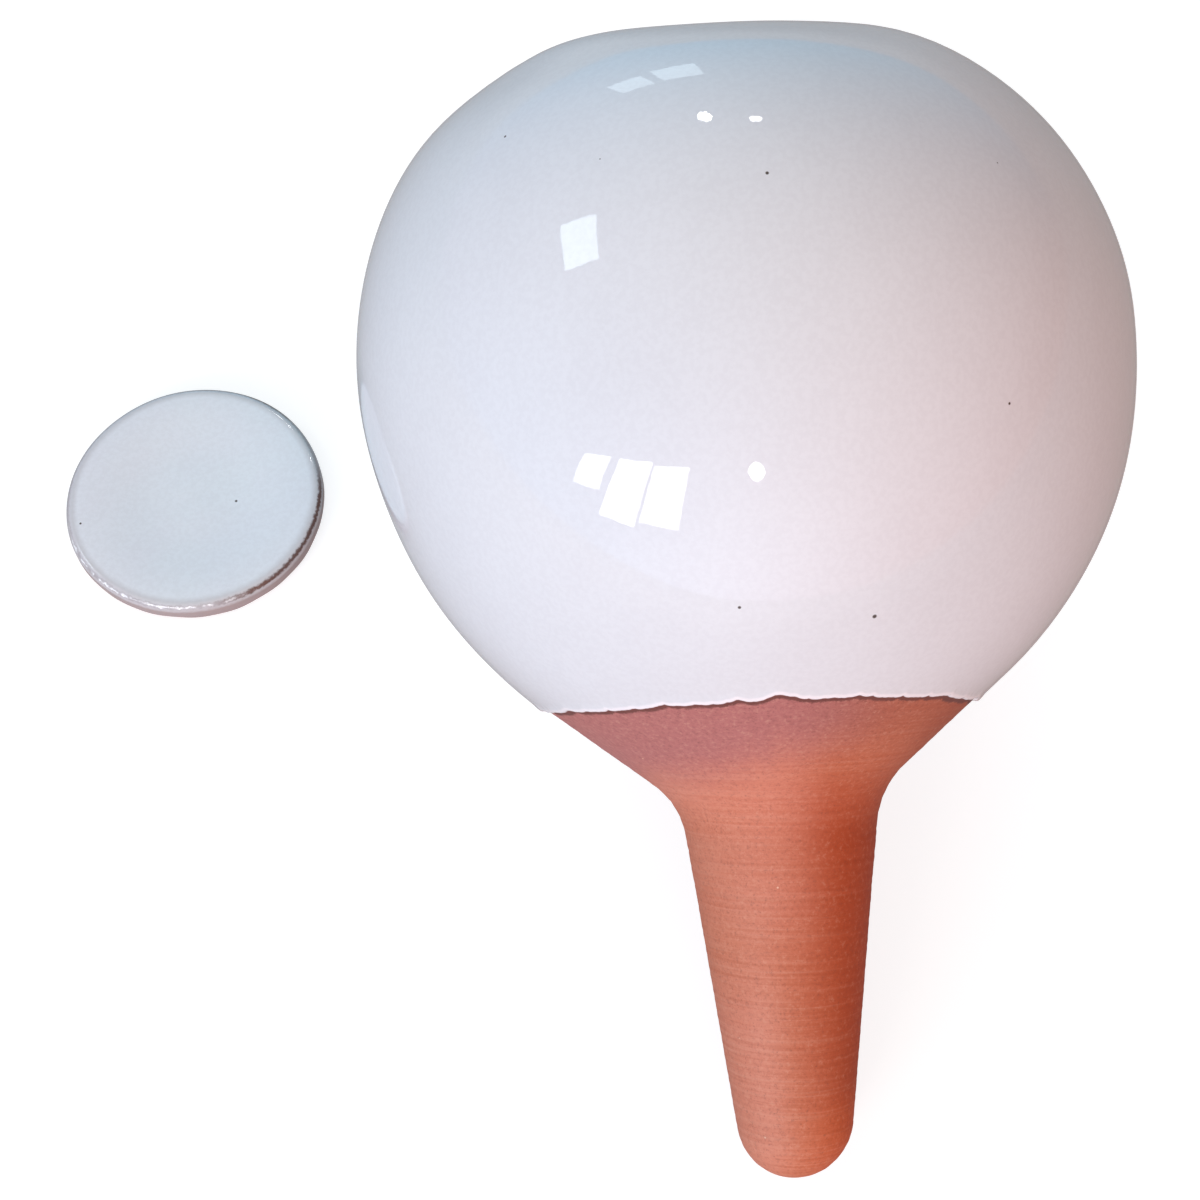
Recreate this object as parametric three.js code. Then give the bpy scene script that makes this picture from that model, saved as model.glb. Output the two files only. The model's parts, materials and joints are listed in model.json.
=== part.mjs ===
// A terracotta watering olla: a white-glazed ball that runs into a porous clay spike, and its loose lid.
// The vessel lies on its side, resting on the ball and on the tip of the spike, with the lid beside it.
// Millimetres, +Z up. The vessel's axis lies in the YZ plane and its mouth points along +Y and upwards.

import * as THREE from 'three';

// Ball, bare clay, measured along the vessel's axis from its widest ring
const BALL_RADIUS = 59.2;
const CROWN_HEIGHT = 44;
const SEAT_RADIUS = 26;
const MOUTH_RADIUS = 15;
const MOUTH_ROUND = 1.4;
const BOWL_DEPTH = 64.5;
const FUNNEL_ANGLE = THREE.MathUtils.degToRad(50);
const NECK_FILLET = 14;
const BALL_WALL = 5.5;

// Spike, measured from the crossing of the funnel's line and the spike's line
const SPIKE_RADIUS = 15.9;
const SPIKE_LENGTH = 60.5;
const TIP_RADIUS = 9.4;
const SPIKE_WALL = 4.5;
const LUTE_DROP = 1;
const LUTE_GAP = 0.3;

// Thrown by hand, the seat and the tip of the spike stand a little to one side of the widest ring's axis
const SEAT_SLUMP = 3.4;
const TIP_SLUMP = 3.6;
const TIP_SLUMP_START = 46;
const TIP_SLUMP_EASE = 20;

// Glaze coat on ball and lid
const GLAZE_GAP = 0.3;
const GLAZE_THICKNESS = 0.5;
const GLAZE_RIM_SETBACK = 1.5;
const GLAZE_RUN = 0.6;
const GLAZE_HEM = 4.5;
const GLAZE_TILT = 3.9;
const GLAZE_TILT_BEARING = THREE.MathUtils.degToRad(-90);
const GLAZE_SWAY = 2;

// Lid, bare clay, and where it lies beside the ball
const LID_RADIUS = 23.6;
const LID_THICKNESS = 4.4;
const LID_EDGE_ROUND = 0.7;
const LID_FOOT_ROUND = 0.8;
const LID_BARE_FOOT = 1.1;
const LID_ASIDE = 14.7;
const LID_BEARING = THREE.MathUtils.degToRad(10.9);

// Facets: turns round the axis, and steps along each arc of a profile
const SEGMENTS = 40;
const BALL_STEPS = 10;
const INNER_STEPS = 6;
const ROUND_STEPS = 3;
const TIP_STEPS = 5;

const QUARTER = Math.PI / 2;
const GLAZE_SKIN = GLAZE_GAP + GLAZE_THICKNESS;
const clay = { color: 0xc77a5c, roughness: 0.9, metalness: 0 };
const whiteGlaze = { color: 0xe2e3ea, roughness: 0.12, metalness: 0 };

// Profiles are lists of (radius, height along the axis), with the outside of a solid running upwards

function point(radius, height) {
  return new THREE.Vector2(radius, height);
}

function arc(centre, radiusX, radiusY, start, end, steps) {
  const clockwise = end < start;
  return new THREE.EllipseCurve(centre.x, centre.y, radiusX, radiusY, start, end, clockwise).getPoints(steps);
}

// Where the funnel leaves the bowl, where its line meets the spike's, and the spike's taper

const bowlEnd = Math.atan((BOWL_DEPTH / BALL_RADIUS) * Math.tan(FUNNEL_ANGLE));
const funnelTop = point(BALL_RADIUS * Math.cos(bowlEnd), -BOWL_DEPTH * Math.sin(bowlEnd));
const crossing = point(
  SPIKE_RADIUS,
  funnelTop.y - (funnelTop.x - SPIKE_RADIUS) / Math.tan(FUNNEL_ANGLE),
);
const tipCentre = point(0, crossing.y - SPIKE_LENGTH + TIP_RADIUS);
const taper = spikeTaper();
const funnelNormal = point(Math.cos(FUNNEL_ANGLE), -Math.sin(FUNNEL_ANGLE));
const spikeNormal = point(Math.cos(taper), -Math.sin(taper));
const filletCentre = funnelNormal.clone()
  .add(spikeNormal)
  .multiplyScalar(NECK_FILLET / (1 + funnelNormal.dot(spikeNormal)))
  .add(crossing);
const luteHeight = filletCentre.y + NECK_FILLET * Math.sin(taper) - LUTE_DROP;

function spikeTaper() {
  const toCrossing = crossing.clone().sub(tipCentre);
  const bearing = Math.atan2(toCrossing.x, toCrossing.y);
  return bearing - Math.asin(TIP_RADIUS / toCrossing.length());
}

function spikeRadiusAt(height, inset) {
  const onAxis = crossing.x + (height - crossing.y) * Math.tan(taper);
  return onAxis - inset / Math.cos(taper);
}

// One skin of the ball, set in from the bare outside by a wall, or out by a coat

function crownSkin(inset, startAngle, steps) {
  const width = BALL_RADIUS - SEAT_RADIUS - inset;
  return arc(point(SEAT_RADIUS, 0), width, CROWN_HEIGHT - inset, startAngle, 0, steps);
}

function bowlSkin(inset, endAngle, steps) {
  return arc(point(0, 0), BALL_RADIUS - inset, BOWL_DEPTH - inset, 0, -endAngle, steps).slice(1);
}

function neckSkin(inset) {
  const fillet = NECK_FILLET + inset;
  return [
    ...arc(filletCentre, fillet, fillet, Math.PI - FUNNEL_ANGLE, Math.PI - taper, ROUND_STEPS),
    point(spikeRadiusAt(luteHeight, inset), luteHeight),
  ];
}

function ballSkin(inset, steps) {
  return [...crownSkin(inset, QUARTER, steps), ...bowlSkin(inset, bowlEnd, steps), ...neckSkin(inset)];
}

// The hole through the flat top, with both its edges softened, from the seat down to the inside

function mouthEdge() {
  const inside = CROWN_HEIGHT - BALL_WALL;
  const across = MOUTH_RADIUS + MOUTH_ROUND;
  return [
    ...arc(point(across, CROWN_HEIGHT - MOUTH_ROUND), MOUTH_ROUND, MOUTH_ROUND, QUARTER, Math.PI, ROUND_STEPS),
    ...arc(point(across, inside + MOUTH_ROUND), MOUTH_ROUND, MOUTH_ROUND, Math.PI, 3 * QUARTER, ROUND_STEPS),
  ];
}

function globeProfile() {
  const outside = ballSkin(0, BALL_STEPS).reverse();
  const ring = [...outside, ...mouthEdge(), ...ballSkin(BALL_WALL, INNER_STEPS)];
  return [...ring, ring[0]];
}

function spikeSkin(inset) {
  const top = luteHeight - LUTE_GAP;
  const tip = TIP_RADIUS - inset;
  return [
    point(spikeRadiusAt(top, inset), top),
    ...arc(tipCentre, tip, tip, -taper, -QUARTER, TIP_STEPS),
  ];
}

function spikeProfile() {
  return [...spikeSkin(0).reverse(), ...spikeSkin(SPIKE_WALL)];
}

// The coat stops short of the seat, and hangs onto the funnel from its last full ring

function glazeSkin(inset) {
  const start = Math.acos(GLAZE_RIM_SETBACK / (BALL_RADIUS - SEAT_RADIUS - inset));
  const hemAngle = bowlEnd - GLAZE_HEM / BALL_RADIUS;
  const runEnd = funnelTop.clone()
    .addScaledVector(funnelNormal, -inset)
    .add(point(-GLAZE_RUN * Math.sin(FUNNEL_ANGLE), -GLAZE_RUN * Math.cos(FUNNEL_ANGLE)));
  return [...crownSkin(inset, start, BALL_STEPS), ...bowlSkin(inset, hemAngle, BALL_STEPS), runEnd];
}

function glazeProfile() {
  const ring = [...glazeSkin(-GLAZE_SKIN).reverse(), ...glazeSkin(-GLAZE_GAP)];
  return [...ring, ring[0]];
}

// How far the glaze line climbs the funnel at a bearing round the axis, 0 being the side that faces up

function glazeClimb(bearing) {
  const tilt = GLAZE_TILT * Math.cos(bearing - GLAZE_TILT_BEARING);
  return tilt + GLAZE_SWAY * Math.cos(2 * bearing);
}

// Solids of revolution about Y, turned so that a facet, not a corner, faces the surface below

function turned(profile) {
  return new THREE.LatheGeometry(profile, SEGMENTS, Math.PI / SEGMENTS);
}

function glazeGeometry() {
  const geometry = turned(glazeProfile());
  const places = geometry.attributes.position;
  const hemLine = glazeSkin(-GLAZE_SKIN).at(-1).y;
  const lastFullRing = glazeSkin(-GLAZE_SKIN).at(-2).y;
  for (let i = 0; i < places.count; i += 1) {
    const place = new THREE.Vector3().fromBufferAttribute(places, i);
    if (place.y < (hemLine + lastFullRing) / 2) {
      const bearing = Math.atan2(place.x, place.z);
      const climb = glazeClimb(bearing);
      const radius = Math.hypot(place.x, place.z) + climb * Math.sin(FUNNEL_ANGLE);
      const height = place.y + climb * Math.cos(FUNNEL_ANGLE);
      places.setXYZ(i, radius * Math.sin(bearing), height, radius * Math.cos(bearing));
    }
  }
  return geometry;
}

// How far to one side the vessel stands at a height along its axis

function sideways(height) {
  if (height > 0) {
    return -SEAT_SLUMP * (height / CROWN_HEIGHT) ** 2;
  }
  return -TIP_SLUMP * easedDrop(-height) / easedDrop(TIP_RADIUS - tipCentre.y);
}

function easedDrop(depth) {
  const drop = Math.max(0, depth - TIP_SLUMP_START);
  return drop < TIP_SLUMP_EASE ? drop ** 2 / (2 * TIP_SLUMP_EASE) : drop - TIP_SLUMP_EASE / 2;
}

function slumped(geometry) {
  const places = geometry.attributes.position;
  for (let i = 0; i < places.count; i += 1) {
    places.setX(i, places.getX(i) + sideways(places.getY(i)));
  }
  return geometry;
}

// The lid's outline from the middle of its top round its edge, set out by a coat

function lidTop(outset) {
  const edge = LID_EDGE_ROUND + outset;
  const centre = point(LID_RADIUS - LID_EDGE_ROUND, LID_THICKNESS - LID_EDGE_ROUND);
  return [point(0, LID_THICKNESS + outset), ...arc(centre, edge, edge, QUARTER, 0, ROUND_STEPS)];
}

function lidProfile() {
  const footCentre = point(LID_RADIUS - LID_FOOT_ROUND, LID_FOOT_ROUND);
  return [
    point(0, 0),
    ...arc(footCentre, LID_FOOT_ROUND, LID_FOOT_ROUND, -QUARTER, 0, ROUND_STEPS),
    ...lidTop(0).reverse(),
  ];
}

function lidGlazeProfile() {
  return [
    ...lidTop(GLAZE_GAP),
    point(LID_RADIUS + GLAZE_GAP, LID_BARE_FOOT),
    point(LID_RADIUS + GLAZE_SKIN, LID_BARE_FOOT),
    ...lidTop(GLAZE_SKIN).reverse(),
  ];
}

function part(name, geometry, finish) {
  const mesh = new THREE.Mesh(geometry, new THREE.MeshStandardMaterial(finish));
  mesh.name = name;
  return mesh;
}

// The lean at which glaze and tip touch the surface together, and the widest ring's height over it

function reachBelow(profile, lean) {
  const flat = Math.cos(Math.PI / SEGMENTS);
  const reaches = profile.map((p) => p.x * flat * Math.cos(lean) - p.y * Math.sin(lean));
  return Math.max(...reaches);
}

function restingLean() {
  const onGlaze = glazeSkin(-GLAZE_SKIN);
  const onSpike = spikeSkin(0);
  let low = 0;
  let high = QUARTER;
  while (high - low > 1e-12) {
    const lean = (low + high) / 2;
    if (reachBelow(onGlaze, lean) > reachBelow(onSpike, lean)) {
      low = lean;
    } else {
      high = lean;
    }
  }
  return low;
}

function makeVessel() {
  const vessel = new THREE.Group();
  vessel.add(
    part('globe_shell', slumped(turned(globeProfile())), clay),
    part('spike', slumped(turned(spikeProfile())), clay),
    part('globe_glaze', slumped(glazeGeometry()), whiteGlaze),
  );
  const lean = restingLean();
  vessel.rotation.x = lean;
  vessel.position.z = reachBelow(glazeSkin(-GLAZE_SKIN), lean);
  return vessel;
}

function makeLid() {
  const lid = new THREE.Group();
  lid.add(part('lid_disc', turned(lidProfile()), clay), part('lid_glaze', turned(lidGlazeProfile()), whiteGlaze));
  const away = BALL_RADIUS + GLAZE_SKIN + LID_ASIDE + LID_RADIUS + GLAZE_SKIN;
  lid.rotation.x = QUARTER;
  lid.position.set(-away * Math.cos(LID_BEARING), away * Math.sin(LID_BEARING), 0);
  return lid;
}

const olla = new THREE.Group();
olla.add(makeVessel(), makeLid());

// The origin goes under the middle of the whole, on the surface
const middle = new THREE.Box3().setFromObject(olla, true).getCenter(new THREE.Vector3());
olla.position.set(-middle.x, -middle.y, 0);

export default olla;
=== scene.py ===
"""Looks of a terracotta watering olla: a white-glazed ball with a bare clay spike, and its loose lid.

The vessel is modelled about its own axis, from the mouth down to the tip of the spike, and then laid
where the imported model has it. Metres throughout.
"""

import json
import math

import bpy
import numpy as np
from mathutils import Matrix, Quaternion, Vector


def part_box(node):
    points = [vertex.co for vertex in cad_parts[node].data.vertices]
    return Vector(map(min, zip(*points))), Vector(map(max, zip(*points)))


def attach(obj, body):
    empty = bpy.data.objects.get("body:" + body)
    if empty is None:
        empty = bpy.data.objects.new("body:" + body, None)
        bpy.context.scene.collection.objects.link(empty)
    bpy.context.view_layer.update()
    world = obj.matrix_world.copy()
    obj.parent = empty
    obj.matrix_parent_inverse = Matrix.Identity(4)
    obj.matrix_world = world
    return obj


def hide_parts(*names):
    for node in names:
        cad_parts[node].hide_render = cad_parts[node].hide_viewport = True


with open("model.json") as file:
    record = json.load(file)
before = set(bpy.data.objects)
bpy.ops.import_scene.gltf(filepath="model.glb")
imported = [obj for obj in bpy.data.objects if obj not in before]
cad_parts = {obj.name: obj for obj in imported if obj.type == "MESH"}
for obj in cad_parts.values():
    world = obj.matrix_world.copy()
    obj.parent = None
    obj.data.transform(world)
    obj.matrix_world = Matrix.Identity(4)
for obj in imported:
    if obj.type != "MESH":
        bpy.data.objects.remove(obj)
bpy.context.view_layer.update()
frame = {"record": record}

# Ball, bare clay, measured along the vessel's axis from its widest ring
BALL_RADIUS = 0.0592
CROWN_HEIGHT = 0.044
SEAT_RADIUS = 0.026
MOUTH_RADIUS = 0.015
MOUTH_ROUND = 0.0014
BOWL_DEPTH = 0.0645
FUNNEL_ANGLE = math.radians(50)
NECK_FILLET = 0.014
BALL_WALL = 0.0055

# Spike, measured from the crossing of the funnel's line and the spike's line
SPIKE_RADIUS = 0.0159
SPIKE_LENGTH = 0.0605
TIP_RADIUS = 0.0094
SPIKE_WALL = 0.0045
LUTE_DROP = 0.001

# How far handling has worn the spike down, and over what length below the joint that sets in
SPIKE_WEAR = 0.00008
SPIKE_WEAR_EASE = 0.01

# How far the seat and the tip stand to one side of the widest ring's axis
SEAT_SLUMP = 0.0034
TIP_SLUMP = 0.0036
TIP_SLUMP_START = 0.046
TIP_SLUMP_EASE = 0.02

# Where the thrown ball swells or falls in: how far, its distance along the skin from the seat's edge and
# how far it reaches there, its bearing in degrees and how far it reaches round. The seat stays flat
SWELLS = (
    (0.00151, 0.0084, 0.0066, -36, 24),
    (0.00079, 0.0127, 0.013, 42, 17.6),
    (0.00104, 0.0582, 0.02, -73, 27.5),
    (-0.0002, 0.108, 0.012, -84, 26),
    (0.0004, 0.092, 0.02, 82, 30),
    (-0.0004, 0.041, 0.012, 84, 22),
)
SWELL_EASE = 0.006

# Glaze coat: how proud of the clay it stands, how far it is sunk to leave no gap, its slow waves, how
# its edges round off and bead, and how far it keeps off the seat's edge. The dark edge along the glaze
# on the clay, partly its own dark line and partly painted shadow under the lip, is narrower there, by
# this much
COAT = 0.0006
COAT_SINK = 0.0002
COAT_WAVE = 0.00002
COAT_RIPPLES = ((5, 0, 0.011, 1.0), (9, 2, -0.007, 0.7), (3, 0, 0.005, 0.8))
LIP_ROUND = 0.0007
LIP_BEAD = 0.0001
LIP_BEAD_WIDTH = 0.001
RIM_SETBACK = 0.0015
RIM_EDGE_LESS = 0.0011

# Glaze line on the ball: its mean height, its lean to one side, its sway, its scallops, given by count
# and phase, and one peak, and how near to it and how far from it the mesh is drawn along with it
HEM_HEIGHT = -0.0521
HEM_TILT = 0.0025
HEM_SWAY = 0.0013
HEM_SCALLOP = 0.00036
HEM_SMALL_SCALLOP = HEM_SCALLOP / 2
HEM_DRIFT = 0.7
HEM_DRIFT_WAVES = ((3, 1), (5, 2))
HEM_WIDE_RUNS = (19, 0.4)
HEM_SMALL_RUNS = (42, 2.1)
HEM_FINE_RUNS = ((97, 0.7), (131, 1.9))
HEM_FINE = 0.00008
HEM_PEAK = 0.0008
HEM_PEAK_BEARING = math.radians(-8.6)
HEM_PEAK_WIDTH = math.radians(2.6)
HEM_NEAR = 0.002
HEM_FAR = 0.016

# Lid: its clay, its glaze, and how far it is out of round, dished and wavy
LID_RADIUS = 0.0236
LID_THICKNESS = 0.0044
LID_EDGE_ROUND = 0.0007
LID_FOOT_ROUND = 0.0008
LID_BARE_FOOT = 0.0011
LID_COAT = 0.0008
LID_WOBBLE = 0.00015
LID_WOBBLES = ((2, 0.8, 0.5), (3, 2.2, 0.3), (7, 0, 0.2))
LID_DISH = 0.0008
LID_DISH_FLAT = 0.3 * LID_RADIUS
LID_DISH_END = 0.9 * LID_RADIUS
LID_WAVE = 0.00003
LID_WAVE_REACH = 0.0031
LID_HEM_SWAY = 0.00025
LID_HEM_RUNS = ((3, 1, 1.0), (8, 0, 0.6), (19, 2, 0.4))

# Marks that the turning tool cut into the clay, one scratch, and the ridges that throwing left inside
TURNING_DEPTH = 0.000012
TURNING_PITCHES = (0.0013, 0.0021, 0.0074)
RING_DEPTH = 0.00005
RING_TILT = 0.075
RING_WIDTH = 0.0004
RING_HEIGHTS = (-0.0687, -0.0712, -0.0735, -0.0768, -0.0822)
SCRATCH_BEARINGS = (math.radians(-37), math.radians(-4))
SCRATCH_HEIGHTS = (-0.1149, -0.1141)
SCRATCH_DEPTH = 0.00012
SCRATCH_WIDTH = 0.00022
SCRATCH_FADE = math.radians(9)
THROWING_DEPTH = 0.0003
THROWING_RIDGES = ((1, 0, 1.0), (2, 1, 0.4))
THROWING_PITCH = 0.0062
THROWING_FADE = 0.02

# Mesh density: turns round the axis and steps along a profile
GLAZE_TURNS = 720
CLAY_TURNS = 420
SPIKE_TURNS = 224
LID_TURNS = 256
FINE_STEP = 0.0005
SPIKE_STEP = 0.00025
BORE_STEP = 0.001
INSIDE_STEP = 0.0015
COAT_STEP = 0.0018
HIDDEN_STEP = 0.0028
LID_CLAY_STEP = 0.001
LID_HIDDEN_STEP = 0.0014
EDGE_STEPS = 9
ARC_POINTS = 181

QUARTER = math.pi / 2
CORNER = math.radians(40)
TINY = 1e-9


# Outlines: (radius, height) points, read by the distance along them

class Outline:
    """A profile made of stretches of points, read by the distance along it from its first point."""

    def __init__(self, *stretches):
        points = np.vstack(stretches)
        steps = np.linalg.norm(np.diff(points, axis=0), axis=1)
        keep = np.concatenate([[True], steps > TINY])
        self.points = points[keep]
        self.along = np.concatenate([[0], np.cumsum(steps[keep[1:]])])
        self.length = self.along[-1]
        run = np.gradient(self.points, self.along, axis=0)
        run /= np.linalg.norm(run, axis=1)[:, None]
        self.normals = np.column_stack([-run[:, 1], run[:, 0]])

    def place(self, along, out=0.0):
        """Radius and height at distances along the profile, set out from it along its normal."""
        radius, height = (np.interp(along, self.along, self.points[:, k]) for k in (0, 1))
        outwards, upwards = (np.interp(along, self.along, self.normals[:, k]) for k in (0, 1))
        return radius + out * outwards, height + out * upwards

    def distance_at(self, height):
        """Distance along a profile that runs steadily downwards, at a height."""
        return np.interp(-np.asarray(height), -self.points[:, 1], self.along)


def arc(centre, radius_x, radius_y, start, end):
    angles = np.linspace(start, end, ARC_POINTS)
    across = centre[0] + radius_x * np.cos(angles)
    upwards = centre[1] + radius_y * np.sin(angles)
    return np.column_stack([across, upwards])


bowl_end = math.atan(BOWL_DEPTH / BALL_RADIUS * math.tan(FUNNEL_ANGLE))
funnel_top = (BALL_RADIUS * math.cos(bowl_end), -BOWL_DEPTH * math.sin(bowl_end))
crossing_height = funnel_top[1] - (funnel_top[0] - SPIKE_RADIUS) / math.tan(FUNNEL_ANGLE)
tip_height = crossing_height - SPIKE_LENGTH + TIP_RADIUS
to_crossing = math.hypot(SPIKE_RADIUS, crossing_height - tip_height)
taper = math.atan2(SPIKE_RADIUS, crossing_height - tip_height) - math.asin(TIP_RADIUS / to_crossing)
funnel_normal = np.array([math.cos(FUNNEL_ANGLE), -math.sin(FUNNEL_ANGLE)])
spike_normal = np.array([math.cos(taper), -math.sin(taper)])
fillet_reach = NECK_FILLET / (1 + funnel_normal @ spike_normal)
fillet_centre = (funnel_normal + spike_normal) * fillet_reach + np.array([SPIKE_RADIUS, crossing_height])
lute_height = fillet_centre[1] + NECK_FILLET * math.sin(taper) - LUTE_DROP


def spike_radius_at(height, inset):
    return SPIKE_RADIUS + (height - crossing_height) * math.tan(taper) - inset / math.cos(taper)


def ball_outline(inset):
    """One skin of the ball, from the seat's edge down to where the spike is luted on."""
    crown = arc((SEAT_RADIUS, 0), BALL_RADIUS - SEAT_RADIUS - inset, CROWN_HEIGHT - inset, QUARTER, 0)
    bowl = arc((0, 0), BALL_RADIUS - inset, BOWL_DEPTH - inset, 0, -bowl_end)
    fillet = NECK_FILLET + inset
    neck = arc(fillet_centre, fillet, fillet, math.pi - FUNNEL_ANGLE, math.pi - taper)
    return Outline(crown, bowl, neck, [(spike_radius_at(lute_height, inset), lute_height)])


def spike_outline(inset):
    """One skin of the spike, from where it is luted on down to its tip."""
    tip = TIP_RADIUS - inset
    return Outline(
        [(spike_radius_at(lute_height, inset), lute_height)],
        arc((0, tip_height), tip, tip, -taper, -QUARTER),
    )


def mouth_outline():
    """From the seat's edge across the seat, down through the mouth and out along its inner edge."""
    across = MOUTH_RADIUS + MOUTH_ROUND
    inside = CROWN_HEIGHT - BALL_WALL
    return Outline(
        [(SEAT_RADIUS, CROWN_HEIGHT)],
        arc((across, CROWN_HEIGHT - MOUTH_ROUND), MOUTH_ROUND, MOUTH_ROUND, QUARTER, math.pi),
        arc((across, inside + MOUTH_ROUND), MOUTH_ROUND, MOUTH_ROUND, math.pi, 3 * QUARTER),
        [(SEAT_RADIUS, inside)],
    )


def lid_outline():
    """From the middle of the lid's top, round its edge and foot, to the middle of its underside."""
    edge = LID_RADIUS - LID_EDGE_ROUND
    foot = LID_RADIUS - LID_FOOT_ROUND
    return Outline(
        [(0, LID_THICKNESS)],
        arc((edge, LID_THICKNESS - LID_EDGE_ROUND), LID_EDGE_ROUND, LID_EDGE_ROUND, QUARTER, 0),
        arc((foot, LID_FOOT_ROUND), LID_FOOT_ROUND, LID_FOOT_ROUND, 0, -QUARTER),
        [(0, 0)],
    )


ball_skin = ball_outline(0)
ball_inside = ball_outline(BALL_WALL)
spike_skin = spike_outline(0)
spike_bore = spike_outline(SPIKE_WALL)
mouth_skin = mouth_outline()
lid_skin = lid_outline()


# Irregularities of a hand-thrown piece, by height along the axis and bearing round it

def smooth(value, low, high):
    share = np.clip((value - low) / (high - low), 0, 1)
    return share * share * (3 - 2 * share)


def bearings(turns):
    """Bearings round the axis, 0 being the side that faces up."""
    return np.arange(turns) * 2 * math.pi / turns


def eased_drop(depth):
    drop = np.maximum(0, depth - TIP_SLUMP_START)
    bent = drop ** 2 / (2 * TIP_SLUMP_EASE)
    return np.where(drop < TIP_SLUMP_EASE, bent, drop - TIP_SLUMP_EASE / 2)


def sideways(height):
    """How far to one side the vessel stands at a height along its axis."""
    crown = -SEAT_SLUMP * (np.maximum(height, 0) / CROWN_HEIGHT) ** 2
    spike = -TIP_SLUMP * eased_drop(-height) / eased_drop(TIP_RADIUS - tip_height)
    return crown + spike


def bearing_from(bearing, start):
    """Turn from one bearing to another, by the shorter way round."""
    return (bearing - start + math.pi) % (2 * math.pi) - math.pi


def swell(along, bearing):
    """How far the ball's skin stands out from its outline."""
    total = 0
    for height, middle, reach, facing, spread in SWELLS:
        turn = bearing_from(bearing, math.radians(facing)) / math.radians(spread)
        total = total + height * np.exp(-((along - middle) / reach) ** 2 - turn ** 2)
    return total * smooth(along, 0, SWELL_EASE)


def scallops(bearing, count, phase):
    """Rounded runs that hang down between sharper peaks, unevenly spaced."""
    drift = HEM_DRIFT * sum(np.sin(waves * bearing + late * phase) for waves, late in HEM_DRIFT_WAVES)
    return (1 - np.abs(np.sin(count / 2 * bearing + drift + phase))) ** 2


def ripples(bearing, runs):
    """Sum of waves round the axis, each with its count, phase and share."""
    return sum(share * np.sin(count * bearing + phase) for count, phase, share in runs)


def hem_height(bearing):
    """Height of the glaze line at a bearing."""
    line = HEM_HEIGHT - HEM_TILT * np.sin(bearing) + HEM_SWAY * np.cos(2 * bearing)
    wide = HEM_SCALLOP * scallops(bearing, *HEM_WIDE_RUNS)
    small = HEM_SMALL_SCALLOP * scallops(bearing, *HEM_SMALL_RUNS)
    peak = HEM_PEAK * np.exp(-(bearing_from(bearing, HEM_PEAK_BEARING) / HEM_PEAK_WIDTH) ** 2)
    fine = HEM_FINE * sum(scallops(bearing, *run) for run in HEM_FINE_RUNS)
    return line + wide + small + fine + peak


def follow_hem(nominal, bearing):
    """Distances along the ball's skin, drawn to the glaze line where they lie near it."""
    mean = ball_skin.distance_at(HEM_HEIGHT)
    shift = ball_skin.distance_at(hem_height(bearing)) - mean
    nominal = np.asarray(nominal)[:, None]
    pull = 1 - smooth(np.abs(nominal - mean), HEM_NEAR, HEM_FAR)
    return nominal + pull * shift[None, :]


def turning(height, bearing):
    """How far the marks of the turning tool go below the bare outside."""
    level = height + RING_TILT * SPIKE_RADIUS * np.sin(bearing)
    waves = sum(
        np.sin(2 * math.pi * level / pitch + turn * bearing) - 1
        for turn, pitch in enumerate(TURNING_PITCHES, 1)
    )
    rings = sum(np.exp(-((level - ring) / RING_WIDTH) ** 2) for ring in RING_HEIGHTS)
    return TURNING_DEPTH * waves - RING_DEPTH * rings


def throwing(height, bearing):
    """Finger ridges left inside the ball by throwing, that stand out from its inner wall."""
    turn = 2 * math.pi * height / THROWING_PITCH + bearing
    ridges = THROWING_DEPTH * ripples(turn, THROWING_RIDGES)
    return -ridges * smooth(np.abs(height - lute_height), 0, THROWING_FADE)


def spike_marks(height, bearing):
    """How far the spike's surface lies below its outline: turning marks, wear and one scratch."""
    wear = SPIKE_WEAR * smooth(lute_height - height, 0, SPIKE_WEAR_EASE)
    start, end = SCRATCH_BEARINGS
    turn = bearing_from(bearing, start)
    line = SCRATCH_HEIGHTS[0] + (SCRATCH_HEIGHTS[1] - SCRATCH_HEIGHTS[0]) * turn / (end - start)
    ends = smooth(turn, 0, SCRATCH_FADE) * smooth(end - start - turn, 0, SCRATCH_FADE)
    scratch = SCRATCH_DEPTH * ends * np.exp(-((height - line) / SCRATCH_WIDTH) ** 2)
    return turning(height, bearing) - wear - scratch


def coat_waves(along, bearing):
    """Slow unevenness of the glaze's surface, below its full thickness."""
    return COAT_WAVE * sum(
        share * (np.sin(count * bearing + along / reach + phase) - 1)
        for count, phase, reach, share in COAT_RIPPLES
    )


# Meshes

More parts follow.
